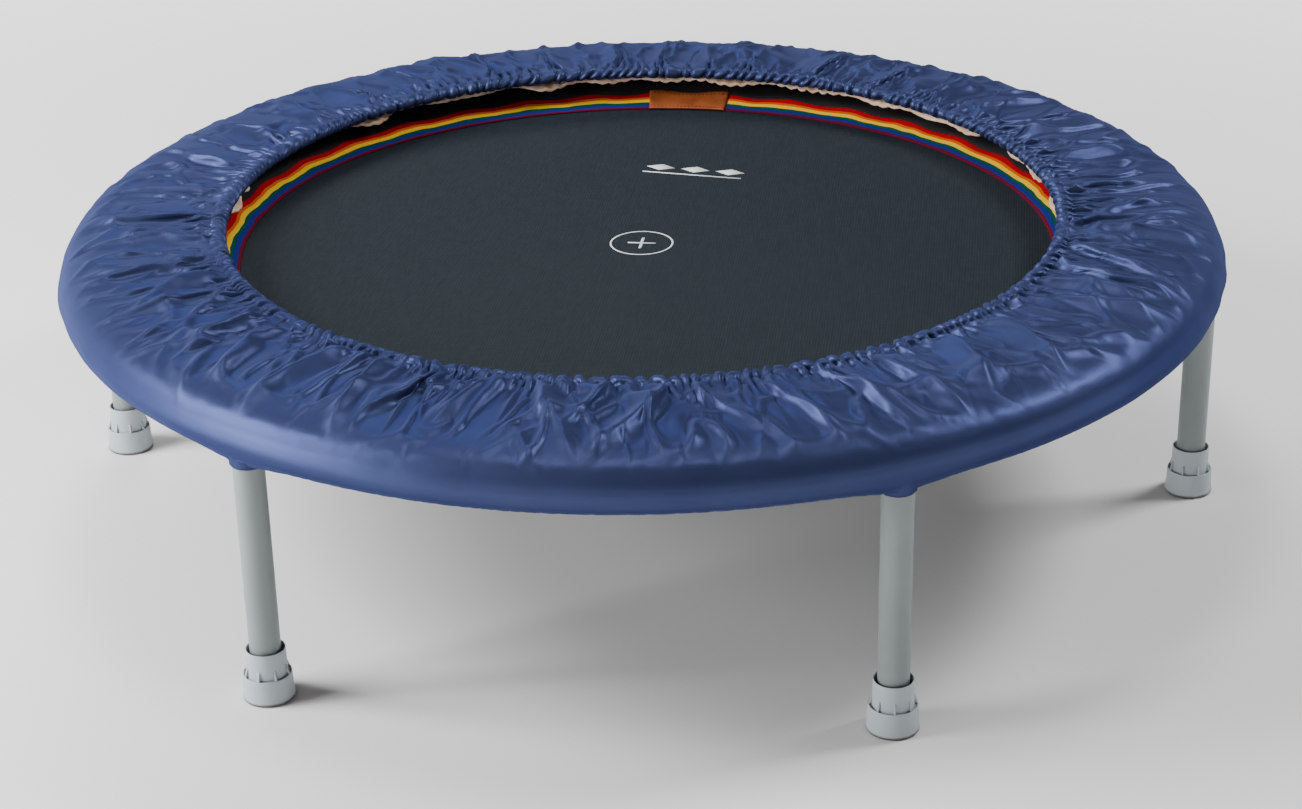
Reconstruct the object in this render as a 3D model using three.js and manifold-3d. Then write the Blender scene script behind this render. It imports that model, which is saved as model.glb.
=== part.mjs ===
// Round mini trampoline: a steel ring on six screw-in legs, a woven mat held by 36 coil springs,
// and a soft cover over the springs. Millimetres, +Z up, floor at z = 0, centre of the ring on
// the Z axis, first leg on +X.
import * as THREE from 'three';
import { mergeVertices } from 'three/addons/utils/BufferGeometryUtils.js';
import Module from 'manifold-3d';

const wasm = await Module();
wasm.setup();

// Driving dimensions
const OUTER_RADIUS = 510;          // outside of the cover
const LEG_COUNT = 6;
const SPRING_COUNT = 36;
const RING_SEGMENTS = 48;          // facets round every large ring, so that their gaps match
const GAP = 0.3;                   // air between pieces that rest on each other

// Frame tube, leg sockets and spring holes
const TUBE_RADIUS = 14;
const TUBE_WALL = 1.5;
const FRAME_RADIUS = 493;          // centre line of the tube
const FRAME_Z = 228;
const SOCKET_RADIUS = 12.5;
const SOCKET_BOTTOM = 206;
const STUD_RADIUS = 5.8;
const STUD_TOP = 230;
const STUD_CLEARANCE = 0.5;
const SPRING_HOLE_RADIUS = 3;

// Legs and feet
const LEG_RADIUS = 12.5;
const LEG_WALL = 1.5;
const LEG_PLUG = 8;                // solid plug that carries the stud
const FOOT_HEIGHT = 44;
const FOOT_FLOOR = 9.7;            // rubber under the leg tube
const FOOT_BASE_RADIUS = 21;
const FOOT_LEDGE_RADIUS = 19.5;
const FOOT_LEDGE_Z = 22;
const FOOT_COLLAR_RADIUS = 16.5;
const FOOT_MOUTH_RADIUS = 15.25;

// Springs
const SPRING_Z = 231;
const SPRING_INNER = 390.5;        // tip of the hook at the mat
const SPRING_OUTER = 482;          // tip of the hook inside the frame tube
const SPRING_HOOK_LENGTH = 14;
const SPRING_RADIUS = 6.5;
const SPRING_WIRE_RADIUS = 1.5;

// Mat, with its rim turned up towards the springs
const MAT_TOP = 223;
const MAT_THICKNESS = 1.5;
const MAT_FLAT_RADIUS = 362;
const MAT_RIM_RADIUS = 386;
const MAT_RIM_RISE = 9;

// Webbing, patch and skirt
const WEBBING_THICKNESS = 1.5;
const WEBBING_INNER = 363;
const WEBBING_OUTER = 387;
const PATCH_THICKNESS = 1.5;
const PATCH_LENGTH = 79;
const PATCH_ANGLE = 90.2;          // degrees from +X
const SKIRT_INNER = 389.5;
const SKIRT_OUTER = 481;
const SKIRT_Z = 238.2;
const SKIRT_THICKNESS = 1.2;

// Foam ring and hem
const FOAM_INNER = 378;
const FOAM_CROWN_RADIUS = 470;     // where the foam begins to round down to its outer edge
const FOAM_OUTER = 499;
const FOAM_BOTTOM = 242.5;
const FOAM_INNER_LIFT = 6;         // the thin inner edge stands this far above the bottom
const FOAM_INNER_THICKNESS = 8.5;
const FOAM_CROWN_THICKNESS = 9.5;
const FOAM_SHOULDER_THICKNESS = 8;
const FOAM_SHOULDER_INSET = 5;
const FOAM_EDGE_THICKNESS = 4.5;
const HEM_RADIUS = 373;            // centre line of the hem's elastic
const HEM_Z = 254.5;
const HEM_TUBE_RADIUS = 7.5;
const COVER_THICKNESS = 2;
const ELASTIC_RADIUS = 4;
const COVER_LIP_RADIUS = 500;      // inner edge of the lip turned under the frame
const LEG_OPENING_RADIUS = 14;

// The cover's section from its lip, up its side, to its top. Each corner gives how far inside
// OUTER_RADIUS and how high its outer face is, then the step from there to its inner face.
const COVER_CORNERS = [
  { inset: OUTER_RADIUS - COVER_LIP_RADIUS, height: 212.2, step: [0, 2] },
  { inset: 3, height: 217, step: [-2, 1.5] },
  { inset: 0, height: 229, step: [-2, 0.5] },
  { inset: 0, height: 239, step: [-2, -0.5] },
  { inset: 3, height: 248.5, step: [-2, -1.3] },
  { inset: 9, height: 253.2, step: [-1, -2] },
];

const COLOURS = {
  frame: [0xaab2b6, 0.4, 0.7],
  leg: [0xaab2b6, 0.45, 0.4],
  foot: [0x9aa5ab, 0.7, 0],
  spring: [0xb8bcc0, 0.3, 1],
  mat: [0x2b363d, 0.8, 0],
  webbing: [0xcd1419, 0.8, 0],
  leather: [0xb45f2d, 0.7, 0],
  skirt: [0x141414, 0.9, 0],
  foam: [0xe6c8b4, 0.9, 0],
  cover: [0x3e548a, 0.45, 0],
  elastic: [0xe8e4da, 0.8, 0],
};

const group = new THREE.Group();

// Adds a named mesh in one of the colours above and returns it.
function addPart(name, geometry, colour) {
  const [color, roughness, metalness] = COLOURS[colour];
  const mesh = new THREE.Mesh(geometry, new THREE.MeshStandardMaterial({ color, roughness, metalness }));
  mesh.name = name;
  group.add(mesh);
  return mesh;
}

// Solid of revolution about +Z from [radius, height] points, listed counter-clockwise in the
// radius-height plane, or from the bottom of the axis to its top.
function turned(points, segments, closed) {
  const profile = points.map(([radius, height]) => new THREE.Vector2(radius, height));
  if (closed) profile.push(profile[0].clone());
  const geometry = new THREE.LatheGeometry(profile, segments);
  geometry.rotateX(Math.PI / 2);
  return weld(geometry);
}

// Keeps only the positions, merged where they meet, so that the surface is closed.
function weld(geometry) {
  geometry.deleteAttribute('normal');
  geometry.deleteAttribute('uv');
  const welded = mergeVertices(geometry, 1e-4);
  return withoutSlivers(welded);
}

// Drops the triangles that have no area once their corners are merged.
function withoutSlivers(geometry) {
  const old = geometry.index.array;
  const kept = [];
  for (let i = 0; i < old.length; i += 3) {
    const [a, b, c] = [old[i], old[i + 1], old[i + 2]];
    if (a !== b && b !== c && c !== a) kept.push(a, b, c);
  }
  geometry.setIndex(kept);
  geometry.computeVertexNormals();
  return geometry;
}

function toSolid(geometry) {
  const vertProperties = new Float32Array(geometry.attributes.position.array);
  const triVerts = new Uint32Array(geometry.index.array);
  return new wasm.Manifold(new wasm.Mesh({ numProp: 3, vertProperties, triVerts }));
}

function toGeometry(solid) {
  const mesh = solid.getMesh();
  const geometry = new THREE.BufferGeometry();
  geometry.setAttribute('position', new THREE.BufferAttribute(mesh.vertProperties, 3));
  geometry.setIndex(new THREE.BufferAttribute(mesh.triVerts, 1));
  geometry.computeVertexNormals();
  return geometry;
}

// Upright cylinder from bottom to top, centred on the leg circle at an angle in radians.
function uprightCylinder(radius, bottom, top, angle, sides) {
  const geometry = new THREE.CylinderGeometry(radius, radius, top - bottom, sides);
  geometry.rotateX(Math.PI / 2);
  geometry.translate(FRAME_RADIUS, 0, (bottom + top) / 2);
  geometry.rotateZ(angle);
  return weld(geometry);
}

// Points of an arc, as [radius, height] pairs, from one angle to another in degrees.
function arcPoints(centreRadius, centreZ, arcRadius, from, to, steps) {
  const points = [];
  for (let i = 0; i <= steps; i += 1) {
    const angle = THREE.MathUtils.degToRad(from + ((to - from) * i) / steps);
    points.push([centreRadius + arcRadius * Math.cos(angle), centreZ + arcRadius * Math.sin(angle)]);
  }
  return points;
}

// Ring of round section, as a closed torus.
function roundRing(radius, z, sectionRadius, sides) {
  return turned(arcPoints(radius, z, sectionRadius, 0, 360 - 360 / sides, sides - 1), RING_SEGMENTS, true);
}

function legAngle(index) {
  return (index * 2 * Math.PI) / LEG_COUNT;
}

function springAngle(index) {
  return ((index + 0.5) * 2 * Math.PI) / SPRING_COUNT;
}

// Frame: a hollow tube ring. Each leg socket and each spring hole opens into the tube.
function makeFrame() {
  let ring = toSolid(roundRing(FRAME_RADIUS, FRAME_Z, TUBE_RADIUS, 10));
  for (let i = 0; i < LEG_COUNT; i += 1) {
    ring = ring.add(toSolid(uprightCylinder(SOCKET_RADIUS, SOCKET_BOTTOM, FRAME_Z, legAngle(i), 16)));
  }
  ring = ring.subtract(toSolid(roundRing(FRAME_RADIUS, FRAME_Z, TUBE_RADIUS - TUBE_WALL, 10)));
  for (let i = 0; i < LEG_COUNT; i += 1) {
    const holeRadius = STUD_RADIUS + STUD_CLEARANCE;
    ring = ring.subtract(toSolid(uprightCylinder(holeRadius, SOCKET_BOTTOM - 1, FRAME_Z, legAngle(i), 12)));
  }
  for (let i = 0; i < SPRING_COUNT; i += 1) {
    const hole = new THREE.CylinderGeometry(SPRING_HOLE_RADIUS, SPRING_HOLE_RADIUS, TUBE_RADIUS, 6);
    hole.rotateZ(Math.PI / 2);
    hole.translate(FRAME_RADIUS - TUBE_RADIUS, 0, SPRING_Z);
    hole.rotateZ(springAngle(i));
    ring = ring.subtract(toSolid(weld(hole)));
  }
  addPart('frame_ring', toGeometry(ring), 'frame');
}

// Leg: a tube open at the bottom, with a plug and a threaded stud at the top.
function makeLeg(index) {
  const inner = LEG_RADIUS - LEG_WALL;
  const top = SOCKET_BOTTOM - GAP;
  const bottom = FOOT_FLOOR + GAP;
  const profile = [
    [0, top - LEG_PLUG], [inner, top - LEG_PLUG], [inner, bottom], [LEG_RADIUS, bottom],
    [LEG_RADIUS, top], [STUD_RADIUS, top], [STUD_RADIUS, STUD_TOP], [0, STUD_TOP],
  ];
  const leg = addPart(`leg_${index + 1}`, turned(profile, 16, false), 'leg');
  leg.position.set(FRAME_RADIUS * Math.cos(legAngle(index)), FRAME_RADIUS * Math.sin(legAngle(index)), 0);
}

// Foot: a rubber ferrule with a ledge, pushed on to the leg tube.
function makeFoot(index) {
  const bore = LEG_RADIUS + GAP;
  const profile = [
    [0, 0], [FOOT_BASE_RADIUS, 0], [FOOT_LEDGE_RADIUS, FOOT_LEDGE_Z], [FOOT_COLLAR_RADIUS, FOOT_LEDGE_Z],
    [FOOT_MOUTH_RADIUS, FOOT_HEIGHT], [bore, FOOT_HEIGHT], [bore, FOOT_FLOOR], [0, FOOT_FLOOR],
  ];
  const foot = addPart(`foot_${index + 1}`, turned(profile, 16, false), 'foot');
  foot.position.set(FRAME_RADIUS * Math.cos(legAngle(index)), FRAME_RADIUS * Math.sin(legAngle(index)), 0);
}

// Spring: a coil's outer shape with a straight hook at each end, lying along a radius.
function makeSpring(index) {
  const length = SPRING_OUTER - SPRING_INNER;
  const coilEnd = length - SPRING_HOOK_LENGTH;
  const profile = [
    [0, 0], [SPRING_WIRE_RADIUS, 0], [SPRING_WIRE_RADIUS, SPRING_HOOK_LENGTH],
    [SPRING_RADIUS, SPRING_HOOK_LENGTH], [SPRING_RADIUS, coilEnd],
    [SPRING_WIRE_RADIUS, coilEnd], [SPRING_WIRE_RADIUS, length], [0, length],
  ];
  const geometry = turned(profile, 6, false);
  geometry.rotateY(Math.PI / 2);
  geometry.translate(SPRING_INNER, 0, SPRING_Z);
  geometry.rotateZ(springAngle(index));
  addPart(`spring_${String(index + 1).padStart(2, '0')}`, geometry, 'spring');
}

// Height of the mat's top face, flat in the middle and rising along the rim.
function matTop(radius) {
  const along = (radius - MAT_FLAT_RADIUS) / (MAT_RIM_RADIUS - MAT_FLAT_RADIUS);
  return MAT_TOP + MAT_RIM_RISE * Math.max(0, along);
}

function makeMat() {
  const profile = [
    [0, MAT_TOP - MAT_THICKNESS],
    [MAT_FLAT_RADIUS, MAT_TOP - MAT_THICKNESS],
    [MAT_RIM_RADIUS, matTop(MAT_RIM_RADIUS) - MAT_THICKNESS],
    [MAT_RIM_RADIUS, matTop(MAT_RIM_RADIUS)],
    [MAT_FLAT_RADIUS, MAT_TOP],
    [0, MAT_TOP],
  ];
  addPart('mat', turned(profile, RING_SEGMENTS, false), 'mat');
}

// Four-sided band that follows the mat's rim, between two heights above the mat's top face.
function rimBand(inner, outer, low, high) {
  return turned([
    [inner, matTop(inner) + low], [outer, matTop(outer) + low],
    [outer, matTop(outer) + high], [inner, matTop(inner) + high],
  ], RING_SEGMENTS, true);
}

function makeWebbing() {
  addPart('webbing_band', rimBand(WEBBING_INNER, WEBBING_OUTER, GAP, GAP + WEBBING_THICKNESS), 'webbing');
}

// Patch: the sector of a band that lies over the webbing, cut out by an upright wedge.
function makePatch() {
  const low = 2 * GAP + WEBBING_THICKNESS;
  const band = rimBand(WEBBING_INNER - 0.5, WEBBING_OUTER + 0.5, low, low + PATCH_THICKNESS);
  const halfAngle = PATCH_LENGTH / (WEBBING_INNER + WEBBING_OUTER);
  const reach = OUTER_RADIUS;
  const wedge = new THREE.Shape();
  wedge.moveTo(0, 0);
  wedge.lineTo(reach * Math.cos(-halfAngle), reach * Math.sin(-halfAngle));
  wedge.lineTo(reach * Math.cos(halfAngle), reach * Math.sin(halfAngle));
  const cutter = new THREE.ExtrudeGeometry(wedge, { depth: 2 * MAT_TOP, bevelEnabled: false });
  cutter.rotateZ(THREE.MathUtils.degToRad(PATCH_ANGLE));
  addPart('leather_patch', toGeometry(toSolid(band).intersect(toSolid(weld(cutter)))), 'leather');
}

function makeSkirt() {
  addPart('spring_skirt', turned([
    [SKIRT_INNER, SKIRT_Z], [SKIRT_OUTER, SKIRT_Z],
    [SKIRT_OUTER, SKIRT_Z + SKIRT_THICKNESS], [SKIRT_INNER, SKIRT_Z + SKIRT_THICKNESS],
  ], RING_SEGMENTS, true), 'skirt');
}

// Foam: it lies flat on the frame tube and rises a little towards the hem.
function makeFoam() {
  const innerZ = FOAM_BOTTOM + FOAM_INNER_LIFT;
  addPart('foam_ring', turned([
    [FOAM_INNER, innerZ],
    [FOAM_CROWN_RADIUS, FOAM_BOTTOM],
    [FOAM_OUTER, FOAM_BOTTOM],
    [FOAM_OUTER, FOAM_BOTTOM + FOAM_EDGE_THICKNESS],
    [FOAM_OUTER - FOAM_SHOULDER_INSET, FOAM_BOTTOM + FOAM_SHOULDER_THICKNESS],
    [FOAM_CROWN_RADIUS, FOAM_BOTTOM + FOAM_CROWN_THICKNESS],
    [FOAM_INNER, innerZ + FOAM_INNER_THICKNESS],
  ], RING_SEGMENTS, true), 'foam');
}

// Cover: one shell from the hooked hem, over the foam, down the side and under the frame tube,
// with an opening round each leg.
function makeCover() {
  const outside = [
    ...COVER_CORNERS.map(({ inset, height }) => [OUTER_RADIUS - inset, height]),
    ...arcPoints(HEM_RADIUS, HEM_Z, HEM_TUBE_RADIUS, 90, 290, 4),
  ];
  const innerCorners = COVER_CORNERS.map(
    ({ inset, height, step: [across, up] }) => [OUTER_RADIUS - inset + across, height + up]);
  const inside = [
    ...arcPoints(HEM_RADIUS, HEM_Z, HEM_TUBE_RADIUS - COVER_THICKNESS, 290, 90, 4),
    ...innerCorners.reverse(),
  ];
  let cover = toSolid(turned([...outside, ...inside], RING_SEGMENTS, true));
  for (let i = 0; i < LEG_COUNT; i += 1) {
    const opening = uprightCylinder(LEG_OPENING_RADIUS, SOCKET_BOTTOM - 10, FRAME_Z, legAngle(i), 16);
    cover = cover.subtract(toSolid(opening));
  }
  addPart('rim_cover', toGeometry(cover), 'cover');
}

function makeElastic() {
  addPart('hem_elastic', roundRing(HEM_RADIUS, HEM_Z, ELASTIC_RADIUS, 6), 'elastic');
}

makeFrame();
for (let i = 0; i < LEG_COUNT; i += 1) {
  makeLeg(i);
  makeFoot(i);
}
for (let i = 0; i < SPRING_COUNT; i += 1) makeSpring(i);
makeMat();
makeWebbing();
makePatch();
makeSkirt();
makeFoam();
makeCover();
makeElastic();

export default group;
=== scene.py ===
"""Mini trampoline: the looks of the object, built around the frozen CAD frame. Metres, +Z up."""
import math

import bmesh
import bpy
import numpy as np
from mathutils import Matrix, Vector


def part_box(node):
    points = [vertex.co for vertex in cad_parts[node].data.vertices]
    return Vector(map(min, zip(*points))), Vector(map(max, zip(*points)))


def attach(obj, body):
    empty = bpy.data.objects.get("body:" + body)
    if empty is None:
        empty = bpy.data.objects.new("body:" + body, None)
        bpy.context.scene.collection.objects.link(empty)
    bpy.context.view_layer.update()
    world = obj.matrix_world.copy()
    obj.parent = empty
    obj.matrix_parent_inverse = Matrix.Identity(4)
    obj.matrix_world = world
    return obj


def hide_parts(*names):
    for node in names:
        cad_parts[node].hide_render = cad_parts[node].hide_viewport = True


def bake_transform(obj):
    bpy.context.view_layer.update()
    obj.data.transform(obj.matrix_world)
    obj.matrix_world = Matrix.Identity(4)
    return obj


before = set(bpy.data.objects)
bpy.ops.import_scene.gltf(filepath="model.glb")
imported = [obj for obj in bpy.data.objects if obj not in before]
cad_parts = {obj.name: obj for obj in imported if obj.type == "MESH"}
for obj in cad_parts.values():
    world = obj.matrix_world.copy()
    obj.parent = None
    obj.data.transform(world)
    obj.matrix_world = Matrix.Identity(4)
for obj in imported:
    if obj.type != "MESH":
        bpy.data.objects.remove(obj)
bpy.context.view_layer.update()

random = np.random.default_rng(11)
TURN = 2 * math.pi

# ---------- sizes, from the frame
COVER_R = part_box("rim_cover")[1][0]
FRAME_LOW, FRAME_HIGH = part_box("frame_ring")
LEG_LOW, LEG_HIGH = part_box("leg_1")
MAT_LOW, MAT_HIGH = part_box("mat")
FOAM_LOW, FOAM_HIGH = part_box("foam_ring")

FOOT_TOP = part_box("foot_1")[1][2]
SKIRT_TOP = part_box("spring_skirt")[1][2]
FRAME_R = (LEG_LOW[0] + LEG_HIGH[0]) / 2
TUBE_R = FRAME_HIGH[0] - FRAME_R
FRAME_Z = 0.228
SOCKET_Z = FRAME_LOW[2]
LEG_R = (LEG_HIGH[0] - LEG_LOW[0]) / 2
LEG_COUNT = 6
SPRING_COUNT = 36
SPRING_Z = 0.231
SPRING_COIL_R = 0.0056
SPRING_WIRE_R = 0.0009
COIL_START_R = 0.4045
COIL_END_R = 0.468
MAT_R = MAT_HIGH[0]
MAT_TOP = MAT_LOW[2] + 0.0015
MAT_FLAT_R = 0.362
MAT_THICK = 0.0012
RIM_RISE = MAT_HIGH[2] - MAT_TOP
WEBBING_THICK = 0.0013
PRINT_LOW = MAT_TOP + 0.00002
PRINT_TOP = MAT_TOP + 0.00016
HEM_R = 0.373
HEM_Z = 0.2560
HEM_TUBE_R = 0.0072
STITCH_R = HEM_R + 0.0135
STITCH_Z = HEM_Z + 0.0018

# ---------- view
CAMERA_TURN = math.radians(7.8)      # the first leg's angle, as the camera sees it
CAMERA_PITCH = math.radians(25.26)
CAMERA_ROLL = math.radians(-1.2)
CAMERA_PLACE = (0.0053, -2.2065, 1.1049)
FRONT = -math.pi / 2 + CAMERA_TURN

# ---------- the cover's cloth
COLUMNS = 2640
TOP_ROWS = 44
GATHERS = 112
FOLD_COUNT = 48
CROSS_COUNT = 46
FOLD_LIMIT = 0.020                   # the most a fold rises, gathers aside
ROUNDS = 3                           # rounds of settling, which soften the folds
SAG = 0.000002


# ---------- mesh helpers
def polar(radius, angle, height):
    """Points from radius, angle and height arrays that broadcast together."""
    radius, angle, height = np.broadcast_arrays(radius, angle, height)
    return np.stack([radius * np.cos(angle), radius * np.sin(angle), height], axis=-1)


def mesh_object(name, points, faces, smooth=True):
    mesh = bpy.data.meshes.new(name)
    mesh.from_pydata(np.asarray(points, float).reshape(-1, 3).tolist(), [], faces)
    mesh.polygons.foreach_set("use_smooth", np.full(len(mesh.polygons), smooth))
    piece = bpy.data.objects.new(name, mesh)
    bpy.context.scene.collection.objects.link(piece)
    return piece


def grid_faces(rows, columns, wrap_rows, wrap_columns, first=0):
    index = np.arange(rows * columns).reshape(rows, columns) + first
    down = np.roll(index, -1, axis=0)
    right = np.roll(index, -1, axis=1)
    diagonal = np.roll(down, -1, axis=1)
    faces = np.stack([index, right, diagonal, down], axis=-1)
    faces = faces if wrap_rows else faces[:-1]
    faces = faces if wrap_columns else faces[:, :-1]
    return faces.reshape(-1, 4).tolist()


def face_outward(piece):
    edit = bmesh.new()
    edit.from_mesh(piece.data)
    bmesh.ops.recalc_face_normals(edit, faces=edit.faces)
    edit.to_mesh(piece.data)
    edit.free()
    return piece


def grid_object(name, points, wrap_rows=False, wrap_columns=True):
    """A surface through an array of points [row, column, 3]."""
    rows, columns = points.shape[:2]
    return mesh_object(name, points, grid_faces(rows, columns, wrap_rows, wrap_columns))


def turned(profile, columns, centre=(0.0, 0.0)):
    """Points and faces of a closed body of revolution whose profile runs from axis to axis."""
    profile = np.array(profile, float)
    angle = np.linspace(0, TURN, columns, endpoint=False)
    rings = polar(profile[1:-1, 0:1], angle, profile[1:-1, 1:2]).reshape(-1, 3)
    ends = np.array([[0, 0, profile[0, 1]], [0, 0, profile[-1, 1]]])
    points = np.vstack([rings, ends]) + np.array([centre[0], centre[1], 0])
    rows = len(profile) - 2
    faces = grid_faces(rows, columns, False, True)
    start, end = rows * columns, rows * columns + 1
    last = (rows - 1) * columns
    for column in range(columns):
        after = (column + 1) % columns
        faces.append([start, after, column])
        faces.append([end, last + column, last + after])
    return points, faces


def rounded(profile, radius, steps=4):
    """A profile with each inner corner replaced by a short curve of about that radius."""
    profile = [np.array(p, float) for p in profile]
    smooth = [profile[0]]
    for before, corner, after in zip(profile, profile[1:], profile[2:]):
        into, out = before - corner, after - corner
        reach = min(radius, 0.45 * np.linalg.norm(into), 0.45 * np.linalg.norm(out))
        start = corner + into / np.linalg.norm(into) * reach
        end = corner + out / np.linalg.norm(out) * reach
        for t in np.linspace(0, 1, steps + 1):
            smooth.append((1 - t) ** 2 * start + 2 * t * (1 - t) * corner + t**2 * end)
    smooth.append(profile[-1])
    return smooth


def prism_faces(count):
    """Faces between two outlines of that many points, one after the other."""
    faces = [list(range(count))[::-1], list(range(count, 2 * count))]
    faces += [[i, (i + 1) % count, count + (i + 1) % count, count + i] for i in range(count)]
    return faces


def tube_points(path, radius, sides=8, closed=False):
    """Rings round a path of points, for a wire or cord."""
    path = np.asarray(path, float)
    if closed:
        tangent = np.roll(path, -1, axis=0) - np.roll(path, 1, axis=0)
    else:
        tangent = np.gradient(path, axis=0)
    tangent /= np.linalg.norm(tangent, axis=1)[:, None]
    normal = np.zeros_like(path)
    guide = np.array([0.0, 0.0, 1.0]) if abs(tangent[0][2]) < 0.9 else np.array([1.0, 0.0, 0.0])
    for i, direction in enumerate(tangent):
        guide = guide - direction * (guide @ direction)
        guide /= np.linalg.norm(guide)
        normal[i] = guide
    side = np.cross(tangent, normal)
    angle = np.linspace(0, TURN, sides, endpoint=False)
    ring = normal[:, None] * np.cos(angle)[None, :, None] + side[:, None] * np.sin(angle)[None, :, None]
    return path[:, None] + ring * radius


def tube(path, radius, sides=8, closed=False, first=0):
    """Points and faces of a closed wire along a path."""
    points = tube_points(path, radius, sides, closed)
    faces = grid_faces(len(points), sides, closed, True, first)
    if not closed:
        faces.append(list(range(first + sides - 1, first - 1, -1)))
        last = first + (len(points) - 1) * sides
        faces.append(list(range(last, last + sides)))
    return points.reshape(-1, 3), faces


def joined(name, bodies):
    """One object from several (points, faces) bodies."""
    all_points, all_faces, first = [], [], 0
    for points, faces in bodies:
        all_points.append(points)
        all_faces += [[first + corner for corner in face] for face in faces]
        first += len(points)
    return face_outward(mesh_object(name, np.vstack(all_points), all_faces))


def turn_between(angle, other):
    """Signed angle from other to angle, from minus half a turn to half a turn."""
    return np.angle(np.exp(1j * (angle - other)))


def wave_noise(angle, low, high, count):
    """Smooth noise round the ring, about 1 high, from waves of low to high periods per turn."""
    total = np.zeros_like(angle)
    for periods in random.choice(np.arange(low, high), count, replace=False):
        total += random.normal() * np.cos(periods * angle + random.uniform(0, TURN))
    return total / math.sqrt(count / 2)


# ---------- helper that bakes a piece's transform into its mesh
def follow_mat(piece):
    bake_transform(piece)
    count = len(piece.data.vertices)
    points = np.zeros(count * 3)
    piece.data.vertices.foreach_get("co", points)
    points = points.reshape(-1, 3)
    return piece


# ---------- materials
def material(name, color, roughness, metallic=0.0, **values):
    made = bpy.data.materials.new(name)
    made.use_nodes = True
    shader = made.node_tree.nodes["Principled BSDF"]
    shader.inputs["Base Color"].default_value = (*color, 1)
    shader.inputs["Roughness"].default_value = roughness
    shader.inputs["Metallic"].default_value = metallic
    for key, value in values.items():
        shader.inputs[key.replace("_", " ")].default_value = value
    return made, made.node_tree.nodes, made.node_tree.links, shader


def texture(nodes, links, kind, scale, stretch=(1, 1, 1), **values):
    """A texture node on object coordinates, stretched by a mapping."""
    coordinates = nodes.new("ShaderNodeTexCoord")
    mapping = nodes.new("ShaderNodeMapping")
    mapping.inputs["Scale"].default_value = stretch
    node = nodes.new(kind)
    node.inputs["Scale"].default_value = scale
    for key, value in values.items():
        if hasattr(node, key):
            setattr(node, key, value)
        else:
            node.inputs[key.replace("_", " ")].default_value = value
    links.new(coordinates.outputs["Object"], mapping.inputs["Vector"])
    links.new(mapping.outputs["Vector"], node.inputs["Vector"])
    return node


def ramp(nodes, links, source, stops, interpolation="LINEAR"):
    node = nodes.new("ShaderNodeValToRGB")
    node.color_ramp.interpolation = interpolation
    elements = node.color_ramp.elements
    while len(elements) < len(stops):
        elements.new(0.5)
    for element, (position, color) in zip(elements, stops):
        element.position = position
        element.color = (*color, 1)
    links.new(source, node.inputs["Fac"])
    return node.outputs["Color"]


def bump(nodes, links, shader, height, strength, distance):
    node = nodes.new("ShaderNodeBump")
    node.inputs["Strength"].default_value = strength
    node.inputs["Distance"].default_value = distance
    links.new(height, node.inputs["Height"])
    earlier = shader.inputs["Normal"].links
    if earlier:
        links.new(earlier[0].from_socket, node.inputs["Normal"])
    links.new(node.outputs["Normal"], shader.inputs["Normal"])


def mottle(nodes, links, socket, scale, detail, dark, light):
    """Soft noise clouds between two values, into a socket."""
    cloud = texture(nodes, links, "ShaderNodeTexNoise", scale, Detail=detail)
    links.new(ramp(nodes, links, cloud.outputs["Fac"], [(0.3, dark), (0.7, light)]), socket)
    return cloud


def calculate(nodes, links, operation, *values):
    """A math node's output, from numbers and sockets."""
    node = nodes.new("ShaderNodeMath")
    node.operation = operation
    for value, socket in zip(values, node.inputs):
        if isinstance(value, (int, float)):
            socket.default_value = value
        else:
            links.new(value, socket)
    return node.outputs[0]


def nylon_material():
    """Satin nylon: a coloured sheen that fades where the cloth is seen edge-on."""
    made, nodes, links, shader = material("blue_nylon", (0.038, 0.048, 0.118), 0.41, Specular_IOR_Level=0.0,
                                          Specular_Tint=(0.15, 0.165, 0.22, 1))
    mottle(nodes, links, shader.inputs["Base Color"], 9, 3, (0.035, 0.044, 0.110), (0.042, 0.053, 0.128))
    slant = nodes.new("ShaderNodeLayerWeight")
    slant.inputs["Blend"].default_value = 0.5
    gloss = ramp(nodes, links, slant.outputs["Facing"], [(0.45, (0.6, 0.6, 0.6)), (0.8, (0.0, 0.0, 0.0))])
    links.new(gloss, shader.inputs["Metallic"])
    crinkle = texture(nodes, links, "ShaderNodeTexNoise", 140, Detail=4, Distortion=0.6)
    bump(nodes, links, shader, crinkle.outputs["Fac"], 0.25, 0.0006)
    weave = texture(nodes, links, "ShaderNodeTexChecker", 2600)
    bump(nodes, links, shader, weave.outputs["Fac"], 0.15, 0.0001)
    return made


def woven_mat_material():
    made, nodes, links, shader = material("woven_mat", (0.02, 0.028, 0.034), 0.7, Specular_IOR_Level=0.06)
    warp = texture(nodes, links, "ShaderNodeTexWave", 131, bands_direction="X", Distortion=0.25)
    weft = texture(nodes, links, "ShaderNodeTexWave", 131, bands_direction="Y", Distortion=0.25)
    cross = calculate(nodes, links, "MULTIPLY", warp.outputs["Fac"], weft.outputs["Fac"])
    warp_threads = texture(nodes, links, "ShaderNodeTexNoise", 1, stretch=(420, 60, 1), Detail=3)
    weft_threads = texture(nodes, links, "ShaderNodeTexNoise", 1, stretch=(60, 420, 1), Detail=3)
    threads = calculate(nodes, links, "MULTIPLY", warp_threads.outputs["Fac"], weft_threads.outputs["Fac"])
    shade = ramp(nodes, links, threads,
                 [(0.14, (0.0115, 0.0165, 0.022)), (0.36, (0.0155, 0.022, 0.028))])
    links.new(shade, shader.inputs["Base Color"])
    bump(nodes, links, shader, cross, 0.5, 0.0005)
    return made


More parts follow.
